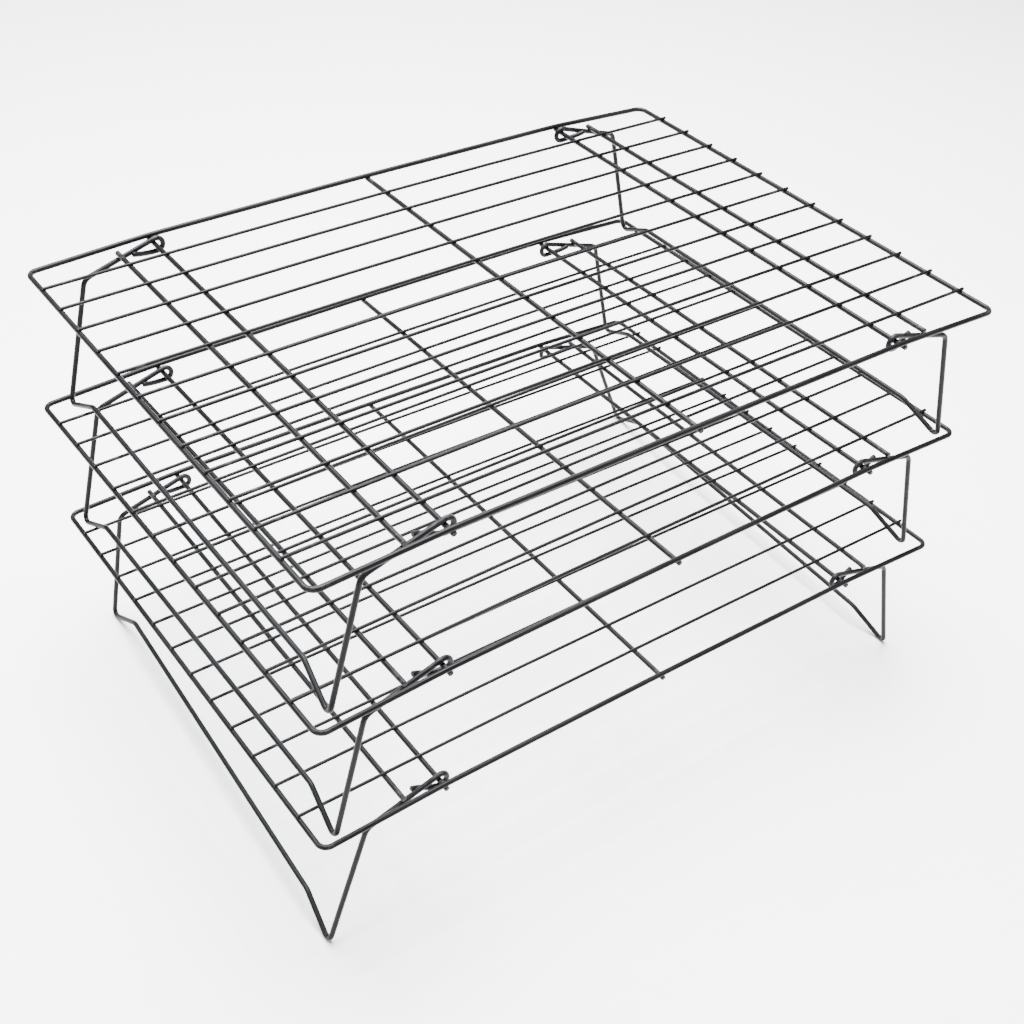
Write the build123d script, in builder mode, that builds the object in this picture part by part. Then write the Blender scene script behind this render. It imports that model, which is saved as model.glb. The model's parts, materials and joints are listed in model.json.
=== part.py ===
"""Three-tier folding-leg cooling rack of coated steel wire.

Each tier is one rim wire, a grid of thin wires running the length over five cross wires,
and two U-shaped leg wires. A leg hooks open-ended round a hinge wire under the deck; opened,
its arms press up under the neighbouring stop wire. The tiers stand on each other by the
sloped ends of the legs' bars, which straddle the outermost grid wires with the feet dropped
between them and the rim.

Frame of the part: X along the rack's length, Y across it, Z up, feet of the bottom tier on
Z = 0, the origin under the middle of the rack. Millimetres.
"""

from build123d import *

import os
from math import asin, atan2, cos, degrees, radians, sin, sqrt, tan

# ---- driving dimensions ----------------------------------------------------------------

rack_length = 400.0  # rim, centre to centre of the wire
rack_width = 285.0
corner_radius = 5.0  # rim corners, on the wire's centre line

rim_wire = 2.8  # wire diameters, coating included
cross_wire = 2.8
leg_wire = 2.8
grid_wire = 1.8
weld_sink = 0.3  # how far two welded wires sink into each other
wire_end_round = 0.4  # rounding of the cut wire ends under the coating

grid_count = 12
grid_left_overhang = 0.6  # grid wire ends past the rim's centre line
grid_right_overhang = 1.5
crown = 1.5  # rise of the deck's middle over its two ends
arched_half = 196.0  # the grid wires are arched this far each way, straight beyond

hinge_wire_x = 133.4
stop_wire_x = 153.6
cross_wire_overhang = 1.4  # hinge and centre wires past the rim's centre line
stop_wire_setback = 4.6  # stop wire ends short of the rim's centre line
knee_radius = 400.0  # gentle bends where the rim rides up onto the cross wires
crest_radius = 6000.0

arm_y = 136.5  # the two arms of a leg stand this far from the rack's middle
hinge_play = 0.1  # gap between a hook and its hinge wire, and under a stop wire
hook_radius = 3.7
hook_slack = 0.6  # how far the hook's bow reaches inboard past a tight wrap
tail_reach = 13.8  # where the hook's tail ends, outboard of the hinge wire's axis
tail_drop = 1.0  # and below it
tail_rise = 13.0  # degrees above level, at its end
tail_aside = 2.95  # towards the rack's middle, clear of its own arm
tail_handle = 5.0  # how soon the tail leaves its hook's line
arm_length = 41.1
elbow_radius = 6.0
leg_splay = 13.5  # degrees from upright
leg_length = 73.0
foot_radius = 3.2
foot_rise = 12.2  # from the foot's corner up to the bar, along the leg
foot_run = 25.8  # from the foot's corner in to the bar
bar_bend_radius = 8.0
# How far the front and back feet of a leg are bent outboard of its straight shape.
foot_lean = {"bottom_left": (5.3, -4.8), "bottom_right": (3.1, 12.8)}

rest_gap = 0.1  # between a bar's sloped end and the grid wire that it rests on
tier_names = ["bottom", "middle", "top"]
tier_turn = [0.0, 0.7, 0.0]  # degrees: how far askew each tier was set down
tier_shift = [1.0, -1.5, 1.0]  # along X

# ---- values that follow ----------------------------------------------------------------

crown_radius = ((rack_length / 2) ** 2 + crown**2) / (2 * crown)
grid_pitch = rack_width / (grid_count + 1)
grid_seat = (rim_wire + grid_wire) / 2 - weld_sink  # grid wire's axis over a wire that it crosses
rim_seat = (rim_wire + cross_wire) / 2 - weld_sink  # rim's axis over a cross wire
hook_offset = (cross_wire + leg_wire) / 2 + hinge_play


def crown_height(x):
    """Height of a cross wire's axis over the deck's plane at x."""
    arched = min(abs(x), arched_half)
    depth = sqrt(crown_radius**2 - arched**2)
    end_slope = arched_half / sqrt(crown_radius**2 - arched_half**2)
    return depth - crown_radius + crown - end_slope * (abs(x) - arched)


def in_xz(along, up, y):
    """A point of the leg's side view, set at y."""
    return (along, y, up)


# Side view of a leg, from the hinge wire's axis: first number outboard, second number up.
stop_gap_x = stop_wire_x - hinge_wire_x
stop_drop = crown_height(hinge_wire_x) - crown_height(stop_wire_x)
stop_reach = sqrt(stop_gap_x**2 + stop_drop**2)
arm_slope = asin(2 * hook_offset / stop_reach) + atan2(stop_drop, stop_gap_x)
arm_way = Vector(cos(arm_slope), -sin(arm_slope))
arm_up = Vector(sin(arm_slope), cos(arm_slope))
hook_centre = arm_up * (hook_offset - hook_radius) - arm_way * hook_slack
hook_top = hook_centre + arm_up * hook_radius
hook_nose = hook_centre - arm_way * hook_radius
hook_bottom = hook_centre - Vector(0, hook_radius)
tail_start = hook_bottom + Vector(tail_handle, 0)
tail_end = Vector(tail_reach, -tail_drop)
tail_way = Vector(cos(radians(tail_rise)), sin(radians(tail_rise)))
tail_turn = tail_end - tail_way * tail_handle
elbow = arm_up * hook_offset + arm_way * arm_length
leg_way = Vector(sin(radians(leg_splay)), -cos(radians(leg_splay)))
foot = elbow + leg_way * leg_length
bar = elbow + leg_way * (leg_length - foot_rise)


def leg_centre_line(plane, leans=(0, 0)):
    """The leg's wire from tail to tail, its hinge axis along the plane's Y.

    leans holds how far its feet at -Y and +Y are bent outboard.
    """
    with BuildLine(plane) as line:
        FilletPolyline(
            in_xz(hook_top.X, hook_top.Y, -arm_y),
            in_xz(elbow.X, elbow.Y, -arm_y),
            in_xz(foot.X + leans[0], foot.Y, -arm_y),
            in_xz(bar.X + leans[0], bar.Y, foot_run - arm_y),
            in_xz(bar.X + leans[1], bar.Y, arm_y - foot_run),
            in_xz(foot.X + leans[1], foot.Y, arm_y),
            in_xz(elbow.X, elbow.Y, arm_y),
            in_xz(hook_top.X, hook_top.Y, arm_y),
            radius=[
                elbow_radius,
                foot_radius,
                bar_bend_radius,
                bar_bend_radius,
                foot_radius,
                elbow_radius,
            ],
        )
        for y, aside in ((-arm_y, tail_aside), (arm_y, -tail_aside)):
            ThreePointArc(
                in_xz(hook_top.X, hook_top.Y, y),
                in_xz(hook_nose.X, hook_nose.Y, y),
                in_xz(hook_bottom.X, hook_bottom.Y, y),
            )
            Bezier(
                in_xz(hook_bottom.X, hook_bottom.Y, y),
                in_xz(tail_start.X, tail_start.Y, y),
                in_xz(tail_turn.X, tail_turn.Y, y + aside),
                in_xz(tail_end.X, tail_end.Y, y + aside),
            )
    return line.wires()[0]


def rim_centre_line(plane):
    """A rounded rectangle whose long sides ride up onto the cross wires."""
    knee_height = crown_height(hinge_wire_x) + rim_seat
    crest_height = crown_height(0) + rim_seat
    points = []
    radii = []
    for way in (1, -1):
        points += [
            (way * rack_length / 2, -way * rack_width / 2, 0),
            (way * hinge_wire_x, -way * rack_width / 2, knee_height),
            (0, -way * rack_width / 2, crest_height),
            (-way * hinge_wire_x, -way * rack_width / 2, knee_height),
            (-way * rack_length / 2, -way * rack_width / 2, 0),
        ]
        radii += [corner_radius, knee_radius, crest_radius, knee_radius, corner_radius]
    with BuildLine(plane) as line:
        FilletPolyline(*points, radius=radii, close=True)
    return line.wires()[0]


def write_wire(name, path, diameter):
    """One piece of wire: a circle swept along its centre line, its cut ends rounded."""
    with BuildPart() as wire:
        with BuildSketch(Plane(origin=path @ 0, z_dir=path % 0)):
            Circle(diameter / 2)
        sweep(path=path)
        cut_ends = wire.faces().filter_by(GeomType.PLANE)
        if cut_ends:
            fillet(cut_ends.edges(), wire_end_round)
    wire.part.label = name
    export_step(wire.part, f"parts/{name}.step")
    return wire.part


def write_rim(name, plane):
    write_wire(name, rim_centre_line(plane), rim_wire)


def write_grid_wire(name, plane, y):
    """A thin wire along the rack, arched with the deck's crown."""
    left = -rack_length / 2 - grid_left_overhang
    right = rack_length / 2 + grid_right_overhang
    left_end, left_bend, middle, right_bend, right_end = [
        (x, y, crown_height(x) + grid_seat)
        for x in (left, -arched_half, 0, arched_half, right)
    ]
    with BuildLine(plane) as line:
        Line(left_end, left_bend)
        ThreePointArc(left_bend, middle, right_bend)
        Line(right_bend, right_end)
    write_wire(name, line.wires()[0], grid_wire)


def write_cross_wire(name, plane, x, half_length):
    """A straight wire across the rack."""
    with BuildLine(plane) as line:
        Line((x, -half_length, crown_height(x)), (x, half_length, crown_height(x)))
    write_wire(name, line.wires()[0], cross_wire)


def hinge_plane(plane, side):
    """The leg's frame: hinge axis along Y, outboard along X. side is 1 right, -1 left."""
    origin = plane.from_local_coords((side * hinge_wire_x, 0, crown_height(hinge_wire_x)))
    return Plane(origin=origin, x_dir=plane.x_dir * side, z_dir=plane.z_dir)


# ---- how the tiers stand ---------------------------------------------------------------

# A bar's sloped ends rest on the outermost grid wires of the tier below. Where one tier is
# askew, two of the four corners touch: those where that wire lies nearest to the foot.
bar_x = hinge_wire_x + bar.X
rest_y = (grid_count - 1) / 2 * grid_pitch + bar_x * sin(radians(max(tier_turn)))
slope = atan2(bar.Y - foot.Y, foot_run)
rest_over_wire = ((leg_wire + grid_wire) / 2 + rest_gap) / cos(slope)
foot_over_wire = rest_over_wire - (arm_y - rest_y) * tan(slope)
foot_reach = leg_wire / 2 - leg_centre_line(Plane.XY).bounding_box().min.Z
rest_wire_height = crown_height(bar_x) + grid_seat
stack_pitch = rest_wire_height + foot_over_wire - foot.Y - crown_height(hinge_wire_x)
bottom_height = foot_reach - crown_height(hinge_wire_x)


def tier_plane(level):
    """The plane through the axis of a tier's rim at its short sides."""
    turn = radians(tier_turn[level])
    return Plane(
        origin=(tier_shift[level], 0, bottom_height + level * stack_pitch),
        x_dir=(cos(turn), sin(turn), 0),
        z_dir=(0, 0, 1),
    )


def write_tier(tier, plane):
    long_reach = rack_width / 2 + cross_wire_overhang
    short_reach = rack_width / 2 - stop_wire_setback
    write_rim(f"{tier}_rim", plane)
    for index in range(grid_count):
        y = (index - (grid_count - 1) / 2) * grid_pitch
        write_grid_wire(f"{tier}_grid_wire_{index + 1:02d}", plane, y)
    write_cross_wire(f"{tier}_centre_wire", plane, 0, long_reach)
    for side, word in ((-1, "left"), (1, "right")):
        write_cross_wire(f"{tier}_hinge_wire_{word}", plane, side * hinge_wire_x, long_reach)
        write_cross_wire(f"{tier}_stop_wire_{word}", plane, side * stop_wire_x, short_reach)
        front_lean, back_lean = foot_lean.get(f"{tier}_{word}", (0, 0))
        leans = (front_lean, back_lean) if side > 0 else (back_lean, front_lean)
        leg_line = leg_centre_line(hinge_plane(plane, side), leans)
        write_wire(f"{tier}_leg_{word}", leg_line, leg_wire)


os.makedirs("parts", exist_ok=True)
for level, tier in enumerate(tier_names):
    write_tier(tier, tier_plane(level))

print("arm slope", round(degrees(arm_slope), 2), "degrees")
print("tier to tier", round(stack_pitch, 2))
print("height of the bottom deck", round(bottom_height, 2))
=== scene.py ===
"""Looks of the three-tier cooling rack: black coating, weld beads, floor, light and camera.

Everything is in the row frame, in metres. The wires themselves are the CAD nodes; this script
gives them their coating and adds the small webs of weld metal and coating where wires cross.
"""

import json
import math

import bmesh
import bpy
import numpy as np
from mathutils import Matrix, Vector


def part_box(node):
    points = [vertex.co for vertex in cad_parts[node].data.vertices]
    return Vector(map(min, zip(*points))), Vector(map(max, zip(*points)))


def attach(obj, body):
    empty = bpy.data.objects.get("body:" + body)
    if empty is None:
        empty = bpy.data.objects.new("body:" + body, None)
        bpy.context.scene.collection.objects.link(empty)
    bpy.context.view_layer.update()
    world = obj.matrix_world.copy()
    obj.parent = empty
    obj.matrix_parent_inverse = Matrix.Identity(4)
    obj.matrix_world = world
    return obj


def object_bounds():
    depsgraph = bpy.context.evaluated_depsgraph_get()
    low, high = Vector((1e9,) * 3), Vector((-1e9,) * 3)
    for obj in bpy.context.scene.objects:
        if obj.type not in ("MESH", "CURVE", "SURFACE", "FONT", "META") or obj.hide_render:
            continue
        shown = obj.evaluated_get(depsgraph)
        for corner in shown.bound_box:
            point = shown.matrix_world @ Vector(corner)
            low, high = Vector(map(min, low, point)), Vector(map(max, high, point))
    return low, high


TIERS = ("bottom", "middle", "top")
SIDES = ("left", "right")

MM = 0.001
BEAD_STEPS_ROUND = 24  # corners of a weld web round the contact, and rows from wire to wire
BEAD_STEPS_UP = 5
BEAD_GAP = 0.42 * MM  # the web's outer edge is where the gap between the wires is this wide
BEAD_SINK = 0.06 * MM  # how far its edges dip into the wires
BEAD_HOLLOW = 0.35  # depth of the web's hollow, as a share of the gap

CAMERA_TURN = math.radians(37.73)  # from +Y towards +X
CAMERA_DROP = math.radians(38.79)  # looking down
CAMERA_ROLL = math.radians(3.41)
CAMERA_DISTANCE = 0.808
CAMERA_AIM = Vector((-0.0164, -0.0305, 0.0))  # from the middle of the rack
CAMERA_LENS = 52.8

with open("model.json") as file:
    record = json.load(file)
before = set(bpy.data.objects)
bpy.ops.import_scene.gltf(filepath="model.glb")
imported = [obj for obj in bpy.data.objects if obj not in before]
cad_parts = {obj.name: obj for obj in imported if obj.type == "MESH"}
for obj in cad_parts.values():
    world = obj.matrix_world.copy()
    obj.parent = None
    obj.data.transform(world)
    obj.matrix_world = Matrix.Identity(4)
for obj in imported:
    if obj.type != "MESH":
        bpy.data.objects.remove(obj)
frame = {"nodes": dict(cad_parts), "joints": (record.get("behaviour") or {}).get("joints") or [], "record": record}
loaded_bounds = [list(corner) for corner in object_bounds()]


# ---- the coating -----------------------------------------------------------------------


class Nodes:
    """A material's node tree, with short calls that add a node and wire up its inputs."""

    def __init__(self, name):
        self.material = bpy.data.materials.new(name)
        self.material.use_nodes = True
        self.tree = self.material.node_tree
        self.tree.nodes.clear()

    def add(self, kind, inputs=None, **settings):
        node = self.tree.nodes.new(kind)
        for key, value in settings.items():
            setattr(node, key, value)
        for key, value in (inputs or {}).items():
            if isinstance(value, bpy.types.NodeSocket):
                self.tree.links.new(value, node.inputs[key])
            else:
                node.inputs[key].default_value = value
        return node

    def math(self, operation, a, b=0.0):
        return self.add("ShaderNodeMath", {0: a, 1: b}, operation=operation).outputs[0]

    def noise(self, vector, scale, detail=2.0, roughness=0.5):
        inputs = {"Vector": vector, "Scale": scale, "Detail": detail, "Roughness": roughness}
        return self.add("ShaderNodeTexNoise", inputs).outputs["Fac"]

    def ramp(self, value, low, high, to_low=0.0, to_high=1.0):
        """value, low to high, mapped smoothly onto to_low to to_high."""
        inputs = {"Value": value, "From Min": low, "From Max": high}
        inputs.update({"To Min": to_low, "To Max": to_high})
        node = self.add("ShaderNodeMapRange", inputs, interpolation_type="SMOOTHSTEP")
        return node.outputs["Result"]

    def mix(self, factor, a, b):
        node = self.add("ShaderNodeMix", data_type="RGBA")
        for socket, value in (("Factor", factor), ("A", a), ("B", b)):
            target = [s for s in node.inputs if s.name == socket and s.enabled][0]
            if isinstance(value, bpy.types.NodeSocket):
                self.tree.links.new(value, target)
            else:
                target.default_value = value
        return [s for s in node.outputs if s.enabled][0]

    def bump(self, height, strength, distance, normal=None):
        inputs = {"Height": height, "Strength": strength, "Distance": distance}
        if normal is not None:
            inputs["Normal"] = normal
        return self.add("ShaderNodeBump", inputs).outputs["Normal"]


def near(nodes, value, place, reach):
    """1 where value is at place, falling to 0 at reach from it."""
    away = nodes.math("ABSOLUTE", nodes.math("SUBTRACT", value, place))
    return nodes.ramp(away, 0.0, reach, 1.0, 0.0)


def rubbed_feet_and_hooks(nodes, box_place):
    """Legs: the feet slide on the counter and the hooks turn on the hinge wires."""
    foot = near(nodes, box_place.outputs["Z"], 0.0, 0.035)
    hook = near(nodes, box_place.outputs["Z"], 1.0, 0.05)
    return nodes.math("MAXIMUM", foot, nodes.math("MULTIPLY", hook, 0.7))


def rubbed_ends(nodes, box_place):
    """Cross wires: the legs' hooks turn near both ends."""
    ends = nodes.math("ABSOLUTE", nodes.math("SUBTRACT", box_place.outputs["Y"], 0.5))
    return nodes.ramp(ends, 0.46, 0.48, 0.0, 0.8)


def rubbed_rests(nodes, box_place):
    """Grid wires: the next tier is set down near both their ends."""
    out = nodes.math("ABSOLUTE", nodes.math("SUBTRACT", box_place.outputs["X"], 0.5))
    return nodes.math("MULTIPLY", near(nodes, out, 0.47, 0.012), 0.9)


def rubbed_corners(nodes, box_place):
    """Rims: hands and drawers touch the corners."""
    out_x = nodes.math("ABSOLUTE", nodes.math("SUBTRACT", box_place.outputs["X"], 0.5))
    out_y = nodes.math("ABSOLUTE", nodes.math("SUBTRACT", box_place.outputs["Y"], 0.5))
    return nodes.ramp(nodes.math("ADD", out_x, out_y), 0.955, 0.99, 0.0, 0.6)


def coating(name, deep, pale, rubbed):
    """Satin black non-stick coating. rubbed gives where it is worn, or is None."""
    nodes = Nodes(name)
    place = nodes.add("ShaderNodeTexCoord")
    at = place.outputs["Object"]
    blotch = nodes.ramp(nodes.noise(at, 28.0, 3.0), 0.35, 0.65)
    grain = nodes.noise(at, 420.0, 2.0, 0.6)
    peel = nodes.noise(at, 1100.0, 1.0)
    sag = nodes.noise(at, 160.0, 1.0)
    specks = nodes.ramp(nodes.noise(at, 700.0, 2.0, 0.7), 0.70, 0.74)

    colour = nodes.mix(blotch, (*deep, 1.0), (*pale, 1.0))
    dust = tuple(1.9 * c for c in pale)
    colour = nodes.mix(nodes.math("MULTIPLY", specks, 0.35), colour, (*dust, 1.0))
    roughness = nodes.ramp(blotch, 0.0, 1.0, 0.30, 0.38)
    roughness = nodes.math("ADD", roughness, nodes.math("MULTIPLY", grain, 0.10))
    if rubbed is not None:
        box_place = nodes.add("ShaderNodeSeparateXYZ", {0: place.outputs["Generated"]})
        patchy = nodes.ramp(grain, 0.42, 0.58)
        worn = nodes.math("MULTIPLY", rubbed(nodes, box_place), patchy)
        colour = nodes.mix(nodes.math("MULTIPLY", worn, 0.5), colour, (0.045, 0.045, 0.047, 1.0))
        roughness = nodes.math("SUBTRACT", roughness, nodes.math("MULTIPLY", worn, 0.12))
    normal = nodes.bump(sag, 0.35, 0.00012)
    normal = nodes.bump(peel, 0.30, 0.00003, normal)
    shader = nodes.add(
        "ShaderNodeBsdfPrincipled",
        {
            "Base Color": colour,
            "Roughness": roughness,
            "Normal": normal,
            "Metallic": 0.0,
            "IOR": 1.2,
        },
    )
    nodes.add("ShaderNodeOutputMaterial", {"Surface": shader.outputs[0]})
    return nodes.material


COATINGS = {
    "rim_coating": coating(
        "rim_black", (0.0032, 0.0032, 0.0039), (0.0053, 0.0053, 0.0060), rubbed_corners
    ),
    "grid_coating": coating(
        "grid_black", (0.0032, 0.0032, 0.0039), (0.0053, 0.0053, 0.0060), rubbed_rests
    ),
    "cross_wire_coating": coating(
        "cross_wire_black", (0.0030, 0.0030, 0.0036), (0.0050, 0.0050, 0.0057), rubbed_ends
    ),
    "leg_coating": coating(
        "leg_black",
        (0.0040, 0.0040, 0.0050),
        (0.0063, 0.0063, 0.0075),
        rubbed_feet_and_hooks,
    ),
}
WELD_COATING = coating("weld_black", (0.0030, 0.0030, 0.0036), (0.0050, 0.0050, 0.0057), None)

for part in frame["record"]["subparts"]:
    wire = frame["nodes"][part["node"]]
    wire.data.materials[0] = COATINGS[part["material_slot"]]


# ---- weld beads ------------------------------------------------------------------------


def points(node):
    """The node's vertices as rows."""
    flat = np.empty(3 * len(frame["nodes"][node].data.vertices))
    frame["nodes"][node].data.vertices.foreach_get("co", flat)
    return flat.reshape(-1, 3)


def reach(node, way):
    """How far the node reaches along a direction."""
    return float((points(node) @ np.array(way)).max())


def middle(node):
    low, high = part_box(node)
    return (low + high) / 2


def height_over(length, radius):
    """Height of a round wire's surface over its axis, length aside from it."""
    return math.sqrt(max(radius**2 - length**2, 0.0))


class Wire:
    """A straight run of wire seen from above: a point on its axis, its direction, its radius."""

    def __init__(self, point, way, radius):
        self.point, self.way, self.radius = point, way, radius


def weld_web(mesh, at, low, high, rise):
    """A hollow-sided web round the contact of two crossing wires.

    at is the crossing on the lower wire's axis, rise the height of the upper axis over it.
    """
    low_side = Vector((-low.way.y, low.way.x, 0))
    high_side = Vector((-high.way.y, high.way.x, 0))
    rows = []
    for step in range(BEAD_STEPS_ROUND):
        turn = 2 * math.pi * step / BEAD_STEPS_ROUND
        out = Vector((math.cos(turn), math.sin(turn), 0))
        low_share, high_share = abs(out.dot(low_side)), abs(out.dot(high_side))

        def surfaces(length):
            floor = height_over(length * low_share, low.radius)
            roof = rise - height_over(length * high_share, high.radius)
            return floor, roof

        near_end, far_end = 0.0, low.radius + high.radius
        for _ in range(24):
            length = (near_end + far_end) / 2
            floor, roof = surfaces(length)
            if roof - floor < BEAD_GAP:
                near_end = length
            else:
                far_end = length
        floor, roof = surfaces(near_end)
        row = []
        for up in range(BEAD_STEPS_UP + 1):
            share = up / BEAD_STEPS_UP
            hollow = 4 * share * (1 - share) * BEAD_HOLLOW * (roof - floor)
            dip = BEAD_SINK * (1 if up in (0, BEAD_STEPS_UP) else 0)
            height = floor + share * (roof - floor)
            if up == 0:
                height -= BEAD_SINK
            if up == BEAD_STEPS_UP:
                height += BEAD_SINK
            row.append(mesh.verts.new(at + out * (near_end - hollow - dip) + Vector((0, 0, height))))
        rows.append(row)
    for this, following in zip(rows, rows[1:] + rows[:1]):
        for up in range(BEAD_STEPS_UP):
            mesh.faces.new((this[up], following[up], following[up + 1], this[up + 1]))


def tier_directions(tier):
    """Along and across the tier, from the axis that its right leg folds about."""
    fold = [j for j in frame["joints"] if j["name"] == f"{tier}_leg_right_fold"][0]
    across = Vector(fold["axis"]).normalized()
    return Vector((across.y, -across.x, 0)), across


def build_weld_webs(tier):
    """All webs of a tier, as one piece on its deck."""
    along, across = tier_directions(tier)
    grid_names = [f"{tier}_grid_wire_{n:02d}" for n in range(1, 13)]
    under_names = [f"{tier}_centre_wire"]
    under_names += [f"{tier}_{kind}_wire_{side}" for kind in ("hinge", "stop") for side in SIDES]
    up = Vector((0, 0, 1))

    def level_radius(node):
        return (reach(node, up) + reach(node, -up)) / 2

    unders = [Wire(middle(n), across, level_radius(n)) for n in under_names]
    rim = f"{tier}_rim"
    rim_radius = unders[0].radius
    rim_middle = middle(rim)
    half_length = reach(rim, along) - along.dot(rim_middle) - rim_radius
    half_width = reach(rim, across) - across.dot(rim_middle) - rim_radius
    rim_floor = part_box(rim)[0].z + rim_radius
    for side in (-1, 1):
        at = rim_middle + along * side * half_length
        unders.append(Wire(Vector((at.x, at.y, rim_floor)), across, rim_radius))

    grid_radius = (reach(grid_names[5], across) + reach(grid_names[5], -across)) / 2
    grid_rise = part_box(grid_names[5])[1].z - grid_radius - unders[0].point.z
    mesh = bmesh.new()
    for name in grid_names:
        over = Wire(middle(name), along, grid_radius)
        for under in unders:
            at = under.point + across * across.dot(over.point - under.point)
            weld_web(mesh, at, under, over, grid_rise)
    rim_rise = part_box(rim)[1].z - rim_radius - unders[0].point.z
    for under in unders[:3]:
        for side in (-1, 1):
            at = under.point + across * (side * half_width + across.dot(rim_middle - under.point))
            weld_web(mesh, at, under, Wire(at, along, rim_radius), rim_rise)
    data = bpy.data.meshes.new(f"{tier}_weld_webs")
    mesh.to_mesh(data)
    mesh.free()
    data.polygons.foreach_set("use_smooth", [True] * len(data.polygons))
    data.materials.append(WELD_COATING)
    webs = bpy.data.objects.new(f"{tier}_weld_webs", data)
    bpy.context.scene.collection.objects.link(webs)
    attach(webs, f"{tier}_deck")


for tier in TIERS:
    build_weld_webs(tier)


# ---- floor, light and camera -----------------------------------------------------------

low_corner, high_corner = (Vector(corner) for corner in loaded_bounds)
centre = (low_corner + high_corner) / 2
size = (high_corner - low_corner).length


def build_floor():
    """A large pale sheet, flat under the rack."""
    nodes = Nodes("pale_floor")
    at = nodes.add("ShaderNodeTexCoord").outputs["Object"]
    shade = nodes.mix(nodes.noise(at, 3.0, 2.0), (0.93, 0.93, 0.935, 1), (0.95, 0.95, 0.95, 1))
    shader = nodes.add("ShaderNodeBsdfPrincipled", {"Base Color": shade, "Roughness": 0.6})
    nodes.add("ShaderNodeOutputMaterial", {"Surface": shader.outputs[0]})
    half = 12 * size
    mesh = bpy.data.meshes.new("floor")
    corners = [(x * half, y * half, low_corner.z) for x, y in ((-1, -1), (1, -1), (1, 1), (-1, 1))]
    mesh.from_pydata(corners, [], [(0, 1, 2, 3)])
    mesh.materials.append(nodes.material)
    floor = bpy.data.objects.new("floor", mesh)
    bpy.context.scene.collection.objects.link(floor)


def build_lamp(name, place, width, power):
    data = bpy.data.lights.new(name, "AREA")
    data.shape = "SQUARE"
    data.size = width
    data.energy = power
    lamp = bpy.data.objects.new(name, data)
    lamp.location = centre + Vector(place)
    lamp.rotation_euler = Vector(place).to_track_quat("Z", "Y").to_euler()
    bpy.context.scene.collection.objects.link(lamp)


def build_light():
    build_lamp("overhead_softbox", (0.1, 0.3, 1.4), 1.2, 230.0)
    build_lamp("side_softbox", (-1.5, 0.2, 1.0), 0.8, 12.0)
    world = bpy.data.worlds.new("white_room")
    world.use_nodes = True
    world.node_tree.nodes["Background"].inputs["Color"].default_value = (1.0, 1.0, 1.0, 1.0)
    world.node_tree.nodes["Background"].inputs["Strength"].default_value = 0.35
    bpy.context.scene.world = world


def build_camera():
    level = Vector((math.sin(CAMERA_TURN), math.cos(CAMERA_TURN), 0))
    ahead = level * math.cos(CAMERA_DROP) - Vector((0, 0, math.sin(CAMERA_DROP)))
    right = ahead.cross(Vector((0, 0, 1))).normalized()
    above = right.cross(ahead)
    right, above = (
        right * math.cos(CAMERA_ROLL) + above * math.sin(CAMERA_ROLL),
        above * math.cos(CAMERA_ROLL) - right * math.sin(CAMERA_ROLL),
    )
    data = bpy.data.cameras.new("camera")
    data.lens = CAMERA_LENS
    data.sensor_width = 36.0
    data.clip_start, data.clip_end = 0.05, 50.0
    camera = bpy.data.objects.new("camera", data)
    place = centre + CAMERA_AIM - ahead * CAMERA_DISTANCE
    turned = Matrix((right, above, -ahead)).transposed()
    camera.matrix_world = Matrix.Translation(place) @ turned.to_4x4()
    bpy.context.scene.collection.objects.link(camera)
    bpy.context.scene.camera = camera


build_floor()
build_light()
build_camera()
